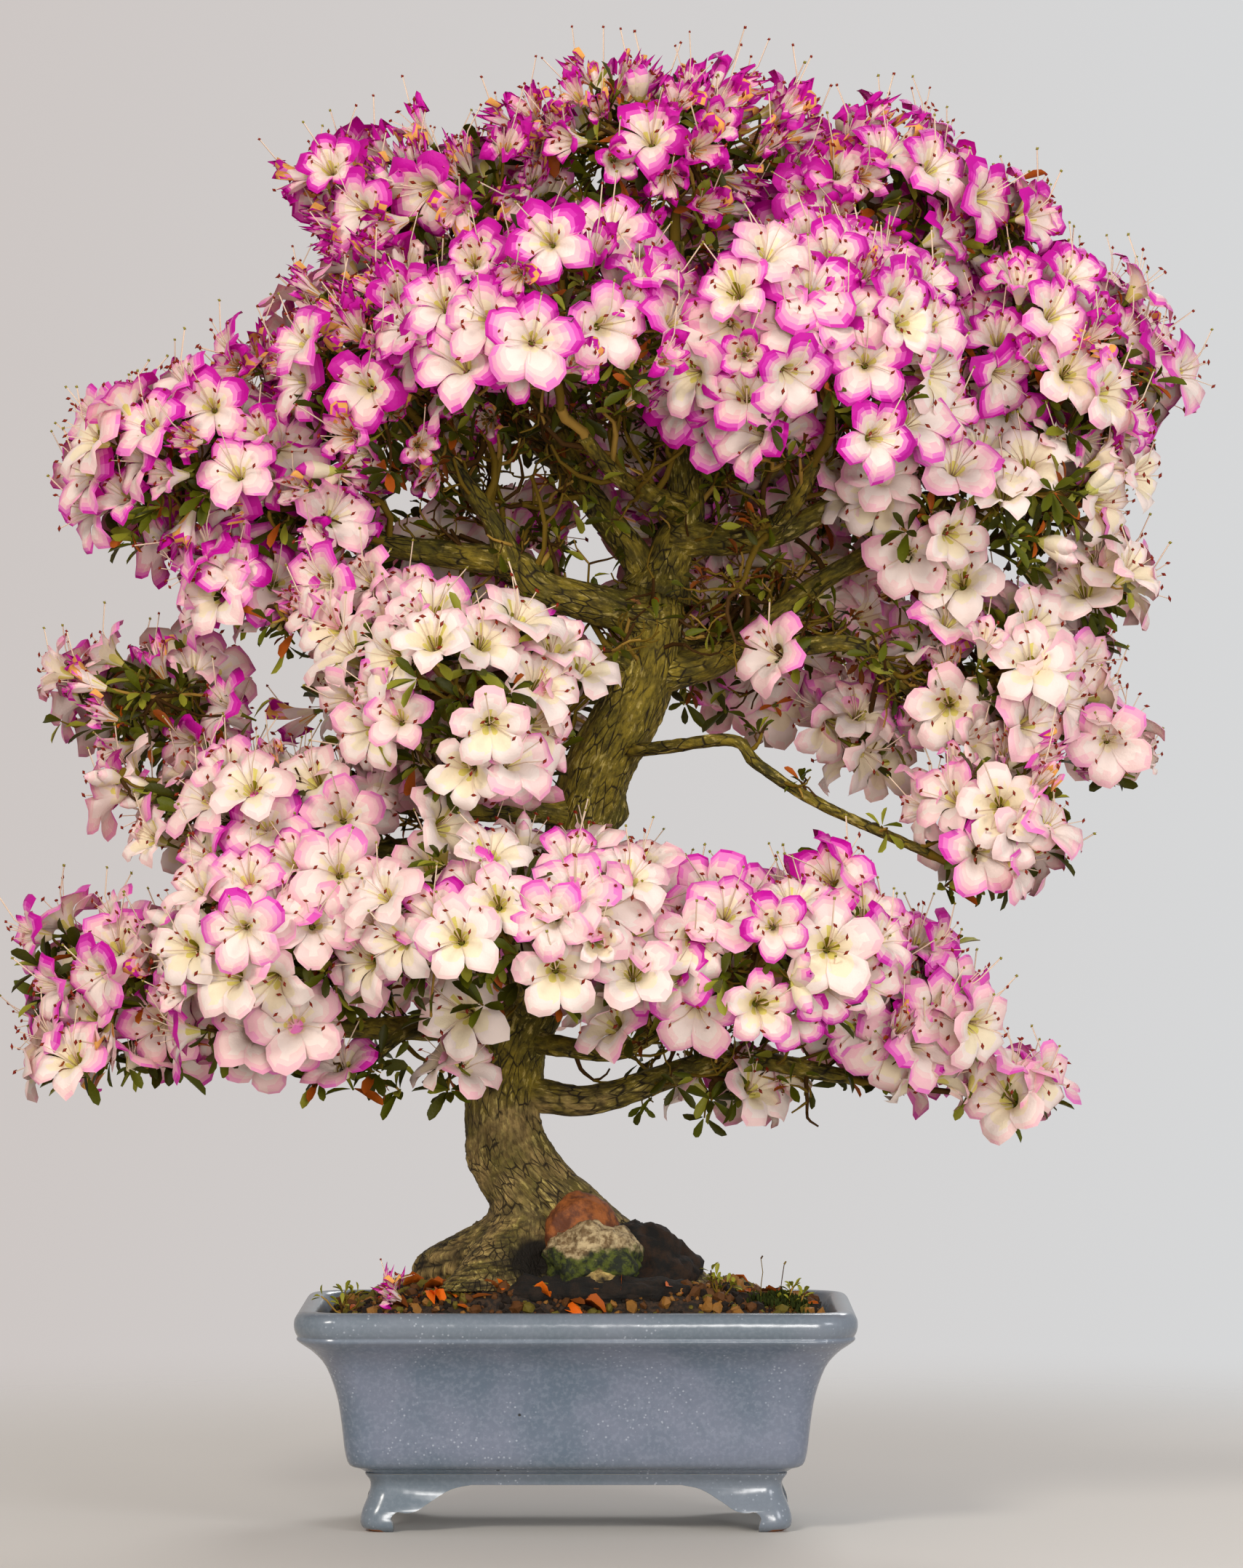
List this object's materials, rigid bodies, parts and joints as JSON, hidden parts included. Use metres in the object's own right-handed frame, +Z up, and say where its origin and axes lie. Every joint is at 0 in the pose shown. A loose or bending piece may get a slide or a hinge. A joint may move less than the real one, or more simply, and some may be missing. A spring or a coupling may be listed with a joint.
{
  "type": "azalea bonsai",
  "caption": "Azalea bonsai in full bloom, with a leaning trunk, spreading boughs and tiers of two-coloured blossom, in a footed oblong glazed pot.",
  "frame": {"origin": "on the surface that the pot's feet stand on, under the middle of the whole plant's box", "axes": "+Z up the plant, +X to the right and -Y towards the viewer of the broad side shown"},
  "size_m": [0.6646, 0.4386, 0.8085],
  "materials": {
    "glaze": "glossy blue-grey glaze",
    "soil": "matt dark granules",
    "bark": "rough mossy bark",
    "blossom": "soft petals and leaves"
  },
  "bodies": {
    "root": {"pot": "glaze", "soil": "soil", "trunk": "bark", "leader_right": "bark", "leader_left": "bark", "bough_right_upper": "bark", "branch_right_top": "bark", "branch_right_front": "bark", "branch_front": "bark", "bough_left_upper": "bark", "branch_left_shoulder": "bark", "branch_left_front": "bark", "bough_right_middle": "bark", "branch_right_arching": "bark", "branch_right_hanging": "bark", "bough_left_middle": "bark", "bough_left_rising": "bark", "bough_left_lower": "bark", "branch_left_hooked": "bark", "branch_lower_front": "bark", "bough_right_lower": "bark", "branch_right_lower_front": "bark", "branch_back_left": "bark", "branch_back_right": "bark", "branch_back_middle_right": "bark", "branch_back_middle_left": "bark", "branch_back_lower": "bark", "mass_apex": "blossom", "mass_right_top": "blossom", "mass_left_top": "blossom", "mass_front_centre": "blossom", "mass_right_front": "blossom", "mass_right_outer": "blossom", "mass_right_low": "blossom", "mass_left_shoulder": "blossom", "mass_left_wing": "blossom", "mass_back_left": "blossom", "mass_back_right": "blossom", "mass_back_middle_right": "blossom", "mass_right_arching": "blossom", "mass_right_hanging": "blossom", "mass_left_middle_front": "blossom", "mass_left_middle_outer": "blossom", "mass_left_middle": "blossom", "mass_left_lower_outer": "blossom", "mass_left_lower_front": "blossom", "mass_lower_front": "blossom", "mass_right_lower_front": "blossom", "mass_right_lower_outer": "blossom", "mass_back_lower": "blossom", "mass_back_middle_left": "blossom"}
  },
  "joints": []
}
